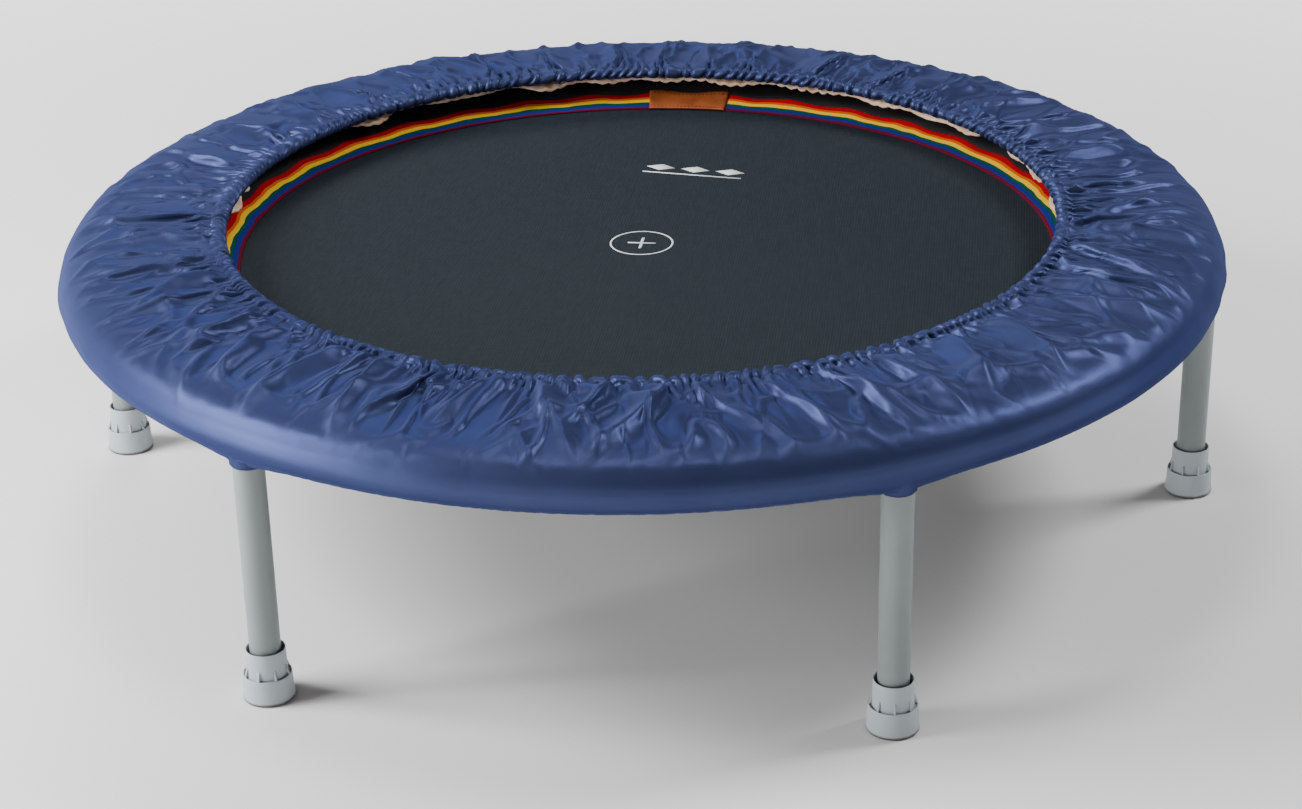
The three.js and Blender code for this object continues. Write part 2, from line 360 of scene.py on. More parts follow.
def webbing_material():
    """Six stripes across the band, outermost red to innermost maroon."""
    made, nodes, links, shader = material("striped_webbing", (0.4, 0.0, 0.01), 0.85, Specular_IOR_Level=0.04)
    across = nodes.new("ShaderNodeAttribute")
    across.attribute_name = "across"
    stops = [(0.0, (0.09, 0.004, 0.016)), (0.12, (0.010, 0.018, 0.15)), (0.31, (0.0, 0.06, 0.045)),
             (0.44, (0.78, 0.48, 0.015)), (0.61, (0.56, 0.10, 0.002)), (0.72, (0.34, 0.0, 0.005))]
    colour = ramp(nodes, links, across.outputs["Fac"], stops, "CONSTANT")
    links.new(colour, shader.inputs["Base Color"])
    ribs = texture(nodes, links, "ShaderNodeTexNoise", 900, Detail=2)
    bump(nodes, links, shader, ribs.outputs["Fac"], 0.6, 0.0004)
    return made


def leather_material():
    made, nodes, links, shader = material("cognac_leather", (0.25, 0.06, 0.015), 0.6, Specular_IOR_Level=0.25)
    grain = texture(nodes, links, "ShaderNodeTexVoronoi", 700)
    mottle(nodes, links, shader.inputs["Base Color"], 60, 5, (0.18, 0.042, 0.010), (0.31, 0.080, 0.020))
    bump(nodes, links, shader, grain.outputs["Distance"], 0.4, 0.0003)
    return made


def cloth_material(name, dark, light, roughness, scale):
    """Plain woven cloth: fine noise in the bump and soft clouds in the colour."""
    made, nodes, links, shader = material(name, light, roughness, Specular_IOR_Level=0.12)
    mottle(nodes, links, shader.inputs["Base Color"], 30, 5, dark, light)
    weave = texture(nodes, links, "ShaderNodeTexNoise", scale, Detail=2)
    bump(nodes, links, shader, weave.outputs["Fac"], 0.5, 0.0004)
    return made


def powder_coat_material():
    made, nodes, links, shader = material("grey_powder_coat", (0.18, 0.205, 0.207), 0.42)
    mottle(nodes, links, shader.inputs["Base Color"], 24, 4, (0.170, 0.194, 0.196), (0.192, 0.217, 0.218))
    peel = texture(nodes, links, "ShaderNodeTexNoise", 700, Detail=2)
    bump(nodes, links, shader, peel.outputs["Fac"], 0.25, 0.0002)
    return made


def foot_rubber_material():
    """Light grey rubber with a dark, scuffed edge at the sole."""
    made, nodes, links, shader = material("grey_rubber", (0.36, 0.405, 0.43), 0.58)
    place = nodes.new("ShaderNodeTexCoord")
    split = nodes.new("ShaderNodeSeparateXYZ")
    links.new(place.outputs["Object"], split.inputs["Vector"])
    scuff = texture(nodes, links, "ShaderNodeTexNoise", 160, Detail=4)
    height = calculate(nodes, links, "MULTIPLY_ADD", scuff.outputs["Fac"], 0.0016, split.outputs["Z"])
    colour = ramp(nodes, links, calculate(nodes, links, "MULTIPLY", height, 100),
                  [(0.24, (0.08, 0.06, 0.055)), (0.42, (0.36, 0.405, 0.43))])
    links.new(colour, shader.inputs["Base Color"])
    bump(nodes, links, shader, scuff.outputs["Fac"], 0.2, 0.0003)
    return made


def steel_material():
    made, nodes, links, shader = material("zinc_steel", (0.62, 0.63, 0.64), 0.32, 1.0)
    cloud = mottle(nodes, links, shader.inputs["Roughness"], 120, 3, (0.25, 0.25, 0.25), (0.42, 0.42, 0.42))
    bump(nodes, links, shader, cloud.outputs["Fac"], 0.1, 0.0002)
    return made


def give(piece, made):
    piece.data.materials.clear()
    piece.data.materials.append(made)
    return piece


# ---------- camera, light and floor
def make_camera():
    data = bpy.data.cameras.new("camera")
    data.lens = 73.65
    data.sensor_width = 36
    camera = bpy.data.objects.new("camera", data)
    tilt = Matrix.Rotation(math.pi / 2 - CAMERA_PITCH, 4, "X") @ Matrix.Rotation(CAMERA_ROLL, 4, "Z")
    placed = Matrix.Translation(CAMERA_PLACE) @ tilt
    camera.matrix_world = Matrix.Rotation(CAMERA_TURN, 4, "Z") @ placed
    bpy.context.scene.collection.objects.link(camera)
    bpy.context.scene.camera = camera


def area_light(name, place, size, power, target=(0, 0, 0.2)):
    data = bpy.data.lights.new(name, "AREA")
    data.size = size
    data.energy = power
    light = bpy.data.objects.new(name, data)
    light.location = Matrix.Rotation(CAMERA_TURN, 3, "Z") @ Vector(place)
    aim = Matrix.Rotation(CAMERA_TURN, 3, "Z") @ Vector(target)
    light.rotation_euler = (aim - light.location).to_track_quat("-Z", "Y").to_euler()
    bpy.context.scene.collection.objects.link(light)


def make_studio():
    area_light("left", (-2.0, -0.25, 1.6), 0.8, 68)
    area_light("strip", (-1.8, -0.8, 0.6), 0.7, 38)
    area_light("right", (2.0, 0.5, 2.2), 0.8, 60)
    area_light("top", (-0.2, 0.2, 3.2), 0.8, 28)
    area_light("back", (-0.6, 2.1, 1.9), 1.0, 28)
    world = bpy.data.worlds.new("studio")
    world.use_nodes = True
    background = world.node_tree.nodes["Background"]
    background.inputs["Color"].default_value = (1, 1, 1, 1)
    background.inputs["Strength"].default_value = 0.06
    bpy.context.scene.world = world


def make_floor():
    """A pale floor that glows more with distance and rises far out, so that no horizon shows."""
    angle = np.linspace(0, TURN, 96, endpoint=False)[None, :]
    profile = np.array([(0.001, 0.0), (22.0, 0.0), (26.0, 0.5), (29.0, 1.5), (31.0, 3.0), (32.0, 4.6)])
    floor = grid_object("floor", polar(profile[:, 0:1], angle, profile[:, 1:2]))
    made, nodes, links, shader = material("pale_floor", (0.92, 0.92, 0.92), 0.9)
    place = nodes.new("ShaderNodeTexCoord")
    reach = nodes.new("ShaderNodeVectorMath")
    reach.operation = "LENGTH"
    links.new(place.outputs["Object"], reach.inputs[0])
    glow = nodes.new("ShaderNodeMapRange")
    glow.interpolation_type = "SMOOTHSTEP"
    glow.inputs["From Min"].default_value = 0.8
    glow.inputs["From Max"].default_value = 3.4
    glow.inputs["To Max"].default_value = 2.2
    links.new(reach.outputs["Value"], glow.inputs["Value"])
    shader.inputs["Emission Color"].default_value = (1, 1, 1, 1)
    links.new(glow.outputs["Result"], shader.inputs["Emission Strength"])
    floor.data.materials.append(made)


# ---------- frame, legs and feet
def leg_angle(index):
    return index * TURN / LEG_COUNT


def leg_place(index):
    return FRAME_R * math.cos(leg_angle(index)), FRAME_R * math.sin(leg_angle(index))


def socket_profile():
    """A socket's outer shape, from the tube down, with a weld fillet at the top."""
    return [(0.0, FRAME_Z - TUBE_R), (0.0128, FRAME_Z - TUBE_R + 0.003), (0.0134, FRAME_Z - TUBE_R + 0.0004),
            (0.0127, FRAME_Z - TUBE_R - 0.0016), (0.0125, SOCKET_Z + 0.0008), (0.0118, SOCKET_Z),
            (0.0064, SOCKET_Z), (0.0064, SOCKET_Z + 0.006), (0.0, SOCKET_Z + 0.006)]


def make_frame_ring(made):
    columns, sides = 288, 24
    angle = np.linspace(0, TURN, columns, endpoint=False)[None, :]
    around = np.linspace(0, TURN, sides, endpoint=False)[:, None]
    ring = polar(FRAME_R + TUBE_R * np.cos(around), angle, FRAME_Z + TUBE_R * np.sin(around))
    bodies = [(ring.reshape(-1, 3), grid_faces(sides, columns, True, True))]
    for leg in range(LEG_COUNT):
        bodies.append(turned(socket_profile(), 40, leg_place(leg)))
    piece = give(joined("frame_tube", bodies), made)
    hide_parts("frame_ring")
    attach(piece, "frame")


def leg_profile():
    top = LEG_HIGH[2]
    shoulder = SOCKET_Z - 0.0003
    profile = [(0.0, shoulder - 0.008), (LEG_R - 0.0015, shoulder - 0.008), (LEG_R - 0.0015, LEG_LOW[2]),
               (LEG_R, LEG_LOW[2]), (LEG_R, shoulder), (0.0058, shoulder)]
    smooth = rounded(profile, 0.0012)[:-1]
    height = shoulder
    pitch = 0.00175
    while height + pitch < top - 0.001:
        smooth += [(0.0050, height + 0.2 * pitch), (0.0058, height + 0.7 * pitch)]
        height += pitch
    smooth += [(0.0050, top - 0.0006), (0.0044, top), (0.0, top)]
    return smooth


def make_leg(index, made):
    piece = give(joined(f"leg_tube_{index + 1}", [turned(leg_profile(), 48, leg_place(index))]), made)
    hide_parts(f"leg_{index + 1}")
    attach(piece, f"leg_{index + 1}")


def rib_body(angle, place):
    """One gusset between the foot's collar and its ledge."""
    half = 0.0009
    side = [(0.0155, 0.0208), (0.0190, 0.0208), (0.0187, 0.0226), (0.0163, 0.0300), (0.0155, 0.0300)]
    points = []
    for across in (-half, half):
        for radius, height in side:
            x = radius * math.cos(angle) - across * math.sin(angle)
            y = radius * math.sin(angle) + across * math.cos(angle)
            points.append((x + place[0], y + place[1], height))
    return np.array(points), prism_faces(len(side))


def make_foot(index, made):
    """A ferrule: flared base with a sole edge, ledge with gussets, and a collar with an open mouth."""
    place = leg_place(index)
    top = FOOT_TOP
    profile = [(0.0, 0.0), (0.0200, 0.0), (0.0210, 0.0012), (0.0208, 0.0030), (0.0203, 0.0050),
               (0.0198, 0.0130), (0.0195, 0.0212), (0.0192, 0.0222), (0.0186, 0.0222), (0.0182, 0.0210),
               (0.0169, 0.0210), (0.0165, 0.0222), (0.0161, 0.0330),
               (0.0159, top - 0.0006), (0.0155, top), (0.0150, top - 0.0004), (0.0146, top - 0.004),
               (0.0129, top - 0.009), (LEG_R + 0.0002, 0.012), (0.0125, 0.0099), (0.0, 0.0097)]
    bodies = [turned(rounded(profile, 0.0006, 2), 56, place)]
    bodies += [rib_body(leg_angle(index) + (rib + 0.5) * TURN / 8, place) for rib in range(8)]
    piece = give(joined(f"ferrule_{index + 1}", bodies), made)
    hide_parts(f"foot_{index + 1}")
    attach(piece, f"leg_{index + 1}")


# ---------- springs and V-rings
def radial_frame(points, angle):
    """Turns points drawn along +X about the vertical axis to an angle."""
    points = np.asarray(points, float)
    cos, sin = math.cos(angle), math.sin(angle)
    x = points[:, 0] * cos - points[:, 1] * sin
    y = points[:, 0] * sin + points[:, 1] * cos
    return np.stack([x, y, points[:, 2]], axis=1)


def spring_path():
    """Hook at the mat, coil, hook into the frame tube, drawn along +X."""
    turns, steps = 21, 14
    hook = 0.0036
    path = []
    for t in np.linspace(-0.75, 0.75, 9):
        path.append((COIL_START_R - 0.0085 - hook * math.cos(t * math.pi), 0, hook * math.sin(t * math.pi)))
    path = path[::-1]
    path.append((COIL_START_R - 0.0035, 0, 0.0))
    path.append((COIL_START_R - 0.0015, 0, SPRING_COIL_R * 0.6))
    for i in range(turns * steps + 1):
        t = i / (turns * steps)
        angle = math.pi / 2 + t * turns * TURN
        x = COIL_START_R + (COIL_END_R - COIL_START_R) * t
        path.append((x, SPRING_COIL_R * math.cos(angle), SPRING_COIL_R * math.sin(angle)))
    path.append((COIL_END_R + 0.0015, 0, SPRING_COIL_R * 0.6))
    path.append((COIL_END_R + 0.0040, 0, 0.0))
    for t in np.linspace(0, 1, 6):
        path.append((COIL_END_R + 0.006 + 0.0085 * t, 0, -0.0030 * t**3))
    return np.array(path) + np.array([0, 0, SPRING_Z])


def spring_angle(index):
    return (index + 0.5) * TURN / SPRING_COUNT


def make_springs(made):
    path = spring_path()
    inward = (path[-1, 0] - path[:, 0]) / (path[-1, 0] - path[:, 0].min())
    for index in range(SPRING_COUNT):
        angle = spring_angle(index)
        stretched = path - np.outer(inward * rim_inset(angle), (1, 0, 0))
        turned_path = radial_frame(stretched, angle)
        piece = joined(f"coil_spring_{index + 1:02d}", [tube(turned_path, SPRING_WIRE_R, 7)])
        give(piece, made)
        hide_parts(f"spring_{index + 1:02d}")
        follow_mat(piece)


def make_v_rings(made):
    """Bent wire triangles that hold the springs to the mat's rim."""
    base, apex = MAT_R + 0.0006, COIL_START_R - 0.0098
    half, low = 0.0145, -0.0040
    corners = [(base, -half, low), (base, half, low), (apex, 0.0022, 0), (apex, -0.0022, 0)]
    loop = []
    for start, end in zip(corners, corners[1:] + corners[:1]):
        for t in np.linspace(0.1, 0.9, 5):
            loop.append([start[k] + (end[k] - start[k]) * t for k in range(3)])
    loop = np.array(loop) + np.array([0, 0, SPRING_Z])
    bodies = []
    for index in range(SPRING_COUNT):
        angle = spring_angle(index)
        shifted = loop - np.array([rim_inset(angle), 0, 0])
        bodies.append(tube(radial_frame(shifted, angle), 0.0013, 8, closed=True))
    piece = give(joined("v_rings", bodies), made)
    follow_mat(piece)


# ---------- mat, webbing, patch and print
def rim_wave(angle):
    """From 1 at each V-ring to -1 midway, since the rings pull the rim out."""
    return np.cos(SPRING_COUNT * (angle - spring_angle(0)))


def rim_height(radius, angle):
    """Top face of the mat: flat, then rising along the rim, a little higher at each V-ring."""
    along = np.clip((radius - MAT_FLAT_R) / (MAT_R - MAT_FLAT_R), 0, 1.2)
    soft = 0.74 * along**2 * (1.6 - 0.6 * along)
    return MAT_TOP + RIM_RISE * soft + 0.0007 * rim_wave(angle) * along**2


def rim_inset(angle):
    """How far in the mat's rim sits: a few millimetres where its springs pull less hard."""
    away = turn_between(angle - CAMERA_TURN, math.radians(188))
    return 0.009 * np.exp(-((away / 0.58) ** 2))


def rim_reach(radius, angle):
    """Radius scalloped by the springs' pull, more towards the edge."""
    along = np.clip((radius - MAT_FLAT_R) / (MAT_R - MAT_FLAT_R), 0, 1)
    near_rim = np.clip((radius - 0.25) / 0.11, 0, 1)
    return radius + 0.0013 * along * rim_wave(angle) - rim_inset(angle) * near_rim


def rim_surface(radii, lifts, columns):
    """Closed strip round the rim through (radius, lift above the mat's top) pairs."""
    angle = np.linspace(0, TURN, columns, endpoint=False)[None, :]
    radii = np.array(radii)[:, None]
    lifts = np.array(lifts)[:, None]
    return polar(rim_reach(radii, angle), angle, rim_height(radii, angle) + lifts)


def make_mat(made):
    columns = 432
    angle = np.linspace(0, TURN, columns, endpoint=False)[None, :]
    top = np.r_[np.linspace(0.012, 0.34, 24), np.linspace(0.345, MAT_R, 16)][:, None]
    upper = polar(rim_reach(top, angle), angle, rim_height(top, angle))
    lower = upper[::-1].copy()
    lower[..., 2] -= MAT_THICK
    rings = np.vstack([upper, lower])
    rows = len(rings)
    faces = grid_faces(rows, columns, False, True)
    centre_top, centre_low = rows * columns, rows * columns + 1
    last = (rows - 1) * columns
    for column in range(columns):
        after = (column + 1) % columns
        faces.append([centre_top, column, after])
        faces.append([centre_low, last + after, last + column])
    points = np.vstack([rings.reshape(-1, 3), [[0, 0, MAT_TOP], [0, 0, MAT_TOP - MAT_THICK]]])
    piece = give(face_outward(mesh_object("jumping_mat", points, faces)), made)
    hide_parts("mat")
    follow_mat(piece)


def band_section(inner, outer, lift, thick):
    """Section of a strip folded round the mat's edge: along the top, round, and back below."""
    below = -MAT_THICK - 0.0003
    radii = [inner, *np.linspace(inner + 0.0006, outer, 14), outer + 0.0016, outer + 0.0019, outer + 0.0016]
    lifts = [lift, *[lift + thick] * 14, lift + 0.5 * thick, -0.5 * MAT_THICK, below - 0.5 * thick]
    radii += [outer, *np.linspace(outer - 0.004, inner + 0.003, 5)]
    lifts += [below - thick, *[below - thick] * 5]
    radii += [inner + 0.003, *np.linspace(inner + 0.006, outer, 4), outer + 0.0007]
    lifts += [below, *[below] * 4, -0.5 * MAT_THICK]
    radii += [*np.linspace(outer, inner + 0.004, 4)]
    lifts += [lift] * 4
    return radii, lifts


def make_webbing(made):
    columns = 864
    inner, outer = MAT_FLAT_R + 0.001, MAT_R + 0.0008
    radii, lifts = band_section(inner, outer, 0.0003, WEBBING_THICK)
    piece = grid_object("rainbow_webbing", rim_surface(radii, lifts, columns), wrap_rows=True)
    face_outward(piece)
    across = np.repeat(np.clip((np.array(radii) - inner) / (outer + 0.0019 - inner), 0, 1), columns)
    stripe = piece.data.attributes.new("across", "FLOAT", "POINT")
    wander = 0.012 * wave_noise(np.linspace(0, TURN, columns, endpoint=False), 20, 120, 20)
    stripe.data.foreach_set("value", (across + np.tile(wander, len(radii))).astype(np.float32))
    give(piece, made)
    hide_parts("webbing_band")
    follow_mat(piece)


def make_patch(leather, thread):
    """Leather tab folded round the webbing over its join, with a stitched border."""
    low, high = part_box("leather_patch")
    centre = math.atan2((low[1] + high[1]) / 2, (low[0] + high[0]) / 2)
    half = 0.079 / (2 * 0.376)
    columns = 60
    angle = np.linspace(centre - half, centre + half, columns)[None, :]
    inner, outer = MAT_FLAT_R - 0.0004, MAT_R + 0.0022
    lift = 0.0003 + WEBBING_THICK + 0.0002
    radii, lifts = band_section(inner, outer, lift, 0.0013)
    radii, lifts = np.array(radii)[:, None], np.array(lifts)[:, None]
    lower = np.array(lifts) < -MAT_THICK
    lifts = np.where(lower, lifts - WEBBING_THICK - 0.0002, lifts)
    ends = 1 - 0.25 * np.clip(1 - (np.minimum(angle - angle.min(), angle.max() - angle) / 0.004), 0, 1)
    points = polar(rim_reach(radii, angle), angle, rim_height(radii, angle) + lifts * ends)
    faces = grid_faces(len(radii), columns, True, False)
    count = len(radii)
    faces.append([row * columns for row in range(count)])
    faces.append([row * columns + columns - 1 for row in range(count)][::-1])
    piece = give(face_outward(mesh_object("leather_tab", points, faces)), leather)
    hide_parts("leather_patch")
    follow_mat(piece)
    make_stitches(thread, centre, half, (inner + 0.0026, outer - 0.0030), lift + 0.0013)


def make_stitches(thread, centre, half, edges, top):
    """Two rows of stitches along the patch's long edges."""
    bodies = []
    for edge in edges:
        for middle in np.arange(centre - half + 0.006, centre + half - 0.005, 0.0105):
            arc = np.linspace(middle - 0.0036, middle + 0.0036, 6)
            dip = top + 0.0001 - 0.0009 * np.abs(np.linspace(-1, 1, 6)) ** 3
            path = polar(rim_reach(edge, arc), arc, rim_height(edge, arc) + dip)
            bodies.append(tube(path, 0.00042, 6))
    stitches = give(joined("leather_stitches", bodies), thread)
    follow_mat(stitches)


def ring_band(inner, outer, columns):
    """Flat printed ring just above the mat."""
    angle = np.linspace(0, TURN, columns, endpoint=False)[None, :]
    radii = np.array([inner, inner, outer, outer])[:, None]
    heights = np.array([PRINT_LOW, PRINT_TOP, PRINT_TOP, PRINT_LOW])[:, None]
    return polar(radii, angle, heights).reshape(-1, 3), grid_faces(4, columns, True, True)


def flat_shape(outline):
    """A printed outline just above the mat."""
    outline = np.asarray(outline, float)
    points = [(x, y, height) for height in (PRINT_LOW, PRINT_TOP) for x, y in outline]
    return np.array(points), prism_faces(len(outline))


def make_print(made):
    """Plain marks on the mat: a ring with a cross, and three diamonds over a line behind it."""
    bodies = [ring_band(0.0268, 0.0284, 96)]
    arm, half = 0.0125, 0.0012
    bodies.append(flat_shape([(-arm, -half), (arm, -half), (arm, half), (-arm, half)]))
    bodies.append(flat_shape([(-half, half + 0.0003), (half, half + 0.0003), (half, arm), (-half, arm)]))
    bodies.append(flat_shape([(-half, -arm), (half, -arm), (half, -half - 0.0003), (-half, -half - 0.0003)]))
    slant = math.radians(-8)
    wide, tall = 0.0140, 0.0080
    diamond = [(wide, 0), (0, tall), (-wide, 0), (0, -tall)]
    marks = [(offset, 0.0, diamond) for offset in (-0.034, 0.0, 0.034)]
    marks.append((0.0, -0.0145, [(-0.048, -0.0012), (0.048, -0.0012), (0.048, 0.0012), (-0.048, 0.0012)]))
    for across, back, shape in marks:
        centre = radial_frame([(0.192 + back, -across, 0)], math.pi / 2 + slant)[0]
        outline = [(centre[0] + x * math.cos(slant) - y * math.sin(slant),
                    centre[1] + x * math.sin(slant) + y * math.cos(slant)) for x, y in shape]
        bodies.append(flat_shape(outline))
    piece = give(joined("mat_print", bodies), made)
    follow_mat(piece)


# ---------- skirt and foam
def make_skirt(made):
    """Black cloth from the webbing's edge, over the springs, to the frame."""
    columns, rows = 720, 22
    angle = np.linspace(0, TURN, columns, endpoint=False)[None, :]
    along = np.linspace(0, 1, rows)[:, None]
    inner, outer = MAT_R + 0.0008, FRAME_R - TUBE_R + 0.0015
    radius = inner + (outer - inner) * along + (1 - along) * (0.0013 * rim_wave(angle) - rim_inset(angle))
    sag = wave_noise(angle, 12, 60, 16)
    start = rim_height(np.full_like(angle, MAT_R), angle) + 0.0019
    height = start + (SKIRT_TOP - start) * np.clip(along / 0.16, 0, 1) ** 0.8
    middle = np.sin(math.pi * along)
    height = height + 0.0009 * sag * middle + 0.0004 * rim_wave(angle) * middle
    for seam in range(LEG_COUNT):
        turn = (seam + 0.1) * TURN / LEG_COUNT
        away = np.abs(turn_between(angle, turn)) * inner
        height = height + 0.0012 * np.exp(-((away / 0.0022) ** 2)) * np.clip(along * 8, 0, 1)
    upper = polar(radius, angle, height)
    lower = upper[::-1].copy()
    lower[..., 2] -= 0.0006
    piece = grid_object("spring_skirt_cloth", np.vstack([upper, lower]), wrap_rows=True)
    give(face_outward(piece), made)
    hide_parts("spring_skirt")
    follow_mat(piece)


def make_foam(made):
    """Foam ring whose thin inner edge waves a little below the hem."""
    columns = 720
    angle = np.linspace(0, TURN, columns, endpoint=False)[None, :]
    scallop = np.abs(wave_noise(angle, 70, 120, 20)) - 0.7
    wander = np.clip(wave_noise(angle, 8, 40, 16), -1.2, 2)
    hidden = np.exp(-((turn_between(angle - CAMERA_TURN, math.radians(147)) / 0.22) ** 4))
    flap = np.exp(-((turn_between(angle - CAMERA_TURN, math.radians(166)) / 0.03) ** 2))
    edge = hem_radius(angle) - 0.0015 - 0.0030 * wander - 0.0060 * flap + 0.008 * hidden
    edge_z = hem_height(angle) - 0.0100 - 0.0016 * scallop - 0.0018 * wander - 0.0020 * flap + 0.003 * hidden
    bottom, top = FOAM_LOW[2], FOAM_HIGH[2]
    outer = FOAM_HIGH[0]
    rows = [(edge, edge_z), (edge - 0.0006, edge_z + 0.0012), (edge + 0.0010, edge_z + 0.0030),
            (edge + 0.010, edge_z + 0.0052), (0.400, top - 0.0026), (0.43, top - 0.0032),
            (0.455, top - 0.0048), (0.472, top - 0.0070), (0.487, top - 0.0105),
            (outer - 0.004, bottom + 0.0026), (outer - 0.0052, bottom + 0.0003), (0.485, bottom),
            (0.462, bottom), (0.43, bottom + 0.0016),
            (0.402, bottom + 0.0032), (edge + 0.012, edge_z - 0.0012), (edge + 0.003, edge_z - 0.0008)]
    points = [polar(radius + 0 * angle, angle, height + 0 * angle)[0] for radius, height in rows]
    piece = grid_object("foam_pad", np.array(points), wrap_rows=True)
    give(face_outward(piece), made)
    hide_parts("foam_ring")
    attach(piece, "frame")


# ---------- cover
def hem_radius(angle):
    """Centre line of the hem, drawn a little towards one side by its elastic."""
    return HEM_R - 0.006 * np.cos(angle - FRONT)


def hem_height(angle):
    return HEM_Z - 0.0024 * np.cos(angle - FRONT)


def smooth_section(points, count):
    """Evenly spaced points of a smooth curve through a section's points, and their distances."""
    points = np.array(points, float)
    ends = np.vstack([2 * points[0] - points[1], points, 2 * points[-1] - points[-2]])
    curve = []
    for a, b, c, d in zip(ends, ends[1:], ends[2:], ends[3:]):
        for t in np.linspace(0, 1, 40, endpoint=False):
            curve.append(0.5 * (2 * b + (c - a) * t + (2 * a - 5 * b + 4 * c - d) * t**2
                                + (3 * b - a - 3 * c + d) * t**3))
    curve = np.array(curve + [points[-1]])
    distance = np.r_[0, np.cumsum(np.hypot(*np.diff(curve, axis=0).T))]
    even = np.linspace(0, distance[-1], count)
    section = [np.interp(even, distance, curve[:, axis]) for axis in (0, 1)]
    return np.stack(section, axis=1), even


def pull(first, second, first_free, second_free, length, stiffness, push_only=False):
    """Moves pairs of points towards the given distance from each other."""
    gap = second - first
    distance = np.sqrt((gap * gap).sum(-1)) + 1e-9
    excess = (distance - length) / distance
    if push_only:
        excess = np.minimum(excess, 0)
    excess = (stiffness * excess / (first_free + second_free + 1e-9))[..., None] * gap
    first += first_free[..., None] * excess
    second -= second_free[..., None] * excess


def pull_round(cloth, freedom, hop, length, stiffness, push_only=False):
    """Pulls points of the same row that lie hop columns apart."""
    order = np.arange(cloth.shape[1])
    for parity in (0, 1):
        here = order[(order // hop) % 2 == parity]
        there = (here + hop) % len(order)
        first, second = cloth[:, here], cloth[:, there]
        pull(first, second, freedom[:, here], freedom[:, here], length[:, None], stiffness, push_only)
        cloth[:, here], cloth[:, there] = first, second


def pull_along(cloth, freedom, lean, length, stiffness):
    """Pulls points of neighbouring rows, lean columns apart."""
    for parity in (0, 1):
        row = np.arange(parity, len(cloth) - 1, 2)
        first, second = cloth[row], np.roll(cloth[row + 1], -lean, axis=1)
        pull(first, second, freedom[row], freedom[row + 1], length[row][:, None], stiffness)
        cloth[row], cloth[row + 1] = first, np.roll(second, lean, axis=1)


def settle_cloth(cloth, free, around, along, floor_of):
    """Softens generated folds: a few rounds of position-based cloth on rows of points [row, column, 3].
    Around and along are the rows' own mean spacings. No fold is made here."""
    share = np.linspace(0, 1, len(cloth))
    bend = 0.30 * (0.2 + 0.8 * share**0.5)[:, None]
    diagonal = np.sqrt(((around[:-1] + around[1:]) / 2) ** 2 + along**2)
    freedom = np.broadcast_to(free[:, None], cloth.shape[:2])
    velocity = np.zeros_like(cloth)
    held = free == 0
    for _ in range(ROUNDS):
        velocity *= 0.9
        velocity[..., 2] -= SAG
        before = cloth.copy()
        cloth += velocity * free[:, None, None]
        pull_round(cloth, freedom, 1, around, 0.9)
        pull_along(cloth, freedom, 0, along, 0.9)
        for lean in (1, -1):
            pull_along(cloth, freedom, lean, diagonal, 0.2)
        for hop, straightness in ((2, 0.985), (5, 0.93)):
            pull_round(cloth, freedom, hop, around * hop * straightness, bend, push_only=True)
        radius = np.hypot(cloth[..., 0], cloth[..., 1])
        cloth[..., 2] = np.maximum(cloth[..., 2], floor_of(radius))
        cloth[held] = before[held]
        velocity = np.clip((cloth - before) * 0.9, -0.0015, 0.0015)
    return cloth


def step(value, start, end):
    """Smooth step from 0 at start to 1 at end."""
    t = np.clip((value - start) / (end - start), 0, 1)
    return t * t * (3 - 2 * t)


def pucker(lean, merged=0.0):
    """Gathers round the hem, 0 in a crease and 1 on a bulge, leaning by a phase; merged into pairs."""
    phase = GATHERS * ANGLE + PUCKER_DRIFT + lean
    pair = np.abs(np.sin(0.5 * phase + 0.6 * PUCKER_TWIST))
    single = np.clip(1.2 * np.abs(np.sin(phase)), 0, 1) ** 0.9 * (0.72 + 0.28 * pair)
    return single + (pair**0.8 - single) * merged


# The order of these counts: each draws from the same random numbers.
ANGLE = np.linspace(0, TURN, COLUMNS, endpoint=False)
PUCKER_DRIFT = 1.7 * wave_noise(ANGLE, 4, 26, 12) + 0.35 * wave_noise(ANGLE, 30, 110, 30)
PUCKER_SIZE = 1 + 0.30 * wave_noise(ANGLE, 30, 150, 30)
PUCKER_TWIST = np.clip(wave_noise(ANGLE, 5, 25, 10), -1, 1)


def pucker_lean(turn):
    """How far round a crease has slewed, from 0 inside the hem to its most at the stitching."""
    return 0.9 * math.sin(turn * math.pi) + 2.6 * PUCKER_TWIST * turn


def channel_rows():
    """The hem's gathered channel, from below the stitching, round the inside, up to the stitching."""
    rows = []
    for turn in np.linspace(-0.93, 0.80, 20):
        around = math.pi - turn * math.pi
        bulge = pucker(pucker_lean(turn))
        swell = 0.45 + 0.55 * step(turn, -0.2, 0.6)
        size = HEM_TUBE_R * np.maximum(0.46, 0.98 - 0.85 * swell * (1 - bulge) * PUCKER_SIZE)
        radius = hem_radius(ANGLE) + 1.25 * size * math.cos(around)
        height = hem_height(ANGLE) + size * math.sin(around)
        rows.append(polar(radius, ANGLE, height))
    return rows


def ridge(angle, share, radius, path, tall, wide, start, end):
    """One raised fold along a path of angles, rising after start and gone by end."""
    away = turn_between(angle[None], path) * radius
    rise = step(share, start - 0.10, start + 0.10) * (1 - step(share, end - 0.3, end))
    return tall * rise * np.exp(-np.abs(away / wide) ** 1.2)


def crumple(angle, share, periods, slew, sharp):
    """Crests from 0 to 1 that wander out over the cover, meet and part, like those in creased cloth."""
    field = np.zeros((len(share), len(angle)))
    for wave in random.integers(*periods, 26):
        field += np.cos(wave * angle[None] + slew * random.normal() * share + random.uniform(0, TURN))
    return np.clip(1 - np.abs(field) / 3.6, 0, 1) ** sharp


